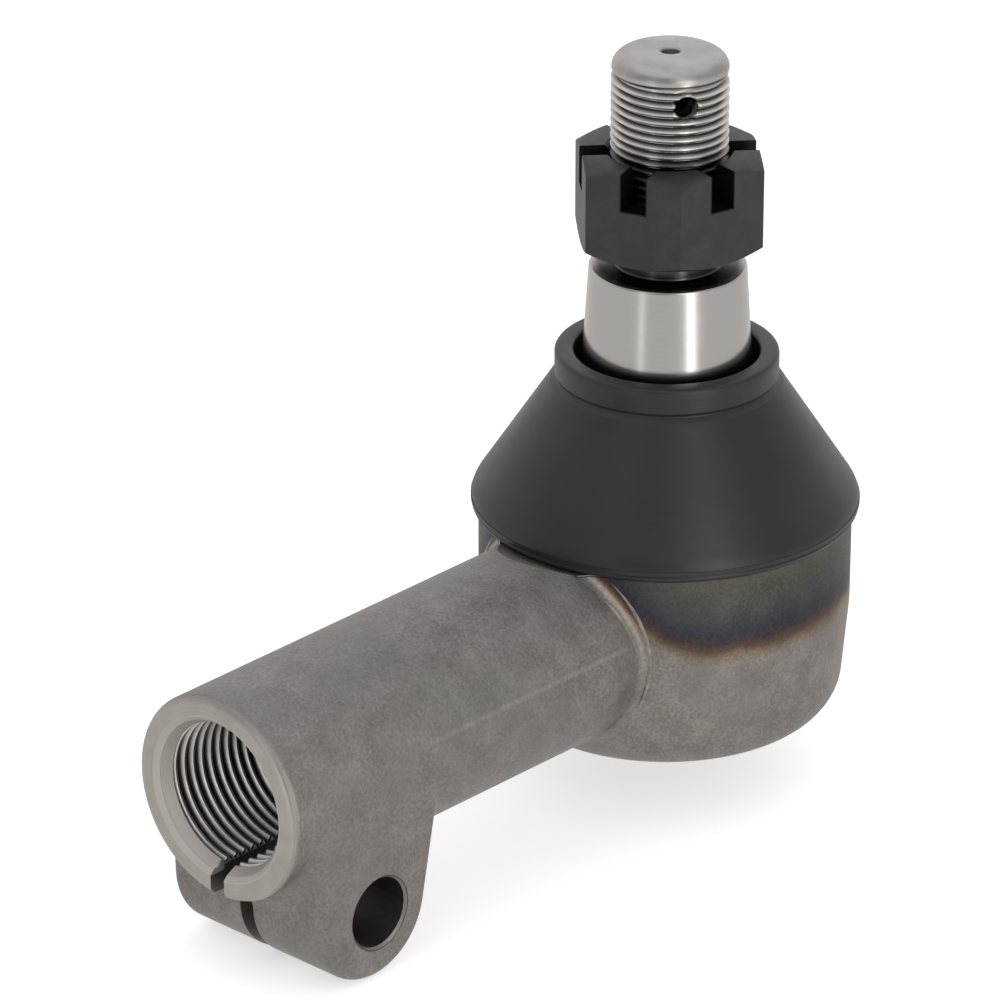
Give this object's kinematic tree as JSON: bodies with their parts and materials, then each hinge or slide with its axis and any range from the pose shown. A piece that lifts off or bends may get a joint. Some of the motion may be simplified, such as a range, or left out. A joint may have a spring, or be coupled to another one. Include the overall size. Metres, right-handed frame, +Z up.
{
  "type": "tie rod end",
  "caption": "Steering ball joint with a tapered threaded stud, slotted nut, rubber dust boot and an internally threaded shank closed by a split clamp lug.",
  "frame": {"origin": "centre of the ball, where the stud's axis crosses the shank's axis", "axes": "+Z up the stud, shank along -X, clamp bolt along Y"},
  "size_m": [0.1435, 0.067, 0.1324],
  "materials": {
    "forged_steel": "shot-blasted forging, heat-tinted blue and straw below the boot",
    "turned_steel": "bright turned",
    "black_oxide_steel": "black oxide, oiled",
    "boot_rubber": "moulded, satin",
    "bearing_polymer": "moulded, greased",
    "spring_steel": "blued, satin"
  },
  "bodies": {
    "socket": {"housing": "forged_steel", "upper_race": "bearing_polymer", "closing_ring": "spring_steel", "disc_spring": "spring_steel", "boot_base_ring": "spring_steel"},
    "swivel": {"lower_race": "bearing_polymer", "dust_boot": "boot_rubber"},
    "collar": {"boot_collar_ring": "spring_steel"},
    "stud": {"ball_stud": "turned_steel"},
    "nut": {"castle_nut": "black_oxide_steel"}
  },
  "joints": [
    {"name": "lean_direction", "type": "hinge", "parent": "socket", "child": "swivel", "pos_m": [0, 0, 0], "axis": [0, 0, 1], "continuous": true},
    {"name": "stud_lean", "type": "hinge", "parent": "swivel", "child": "collar", "pos_m": [0, 0, 0], "axis": [0, 1, 0], "range_deg": [-20, 20], "deforming": ["dust_boot"]},
    {"name": "stud_spin", "type": "hinge", "parent": "collar", "child": "stud", "pos_m": [0, 0, 0], "axis": [0, 0, 1], "continuous": true},
    {"name": "nut_turn", "type": "hinge", "parent": "stud", "child": "nut", "pos_m": [0, 0, 0.073], "axis": [0, 0, 1], "continuous": true}
  ]
}
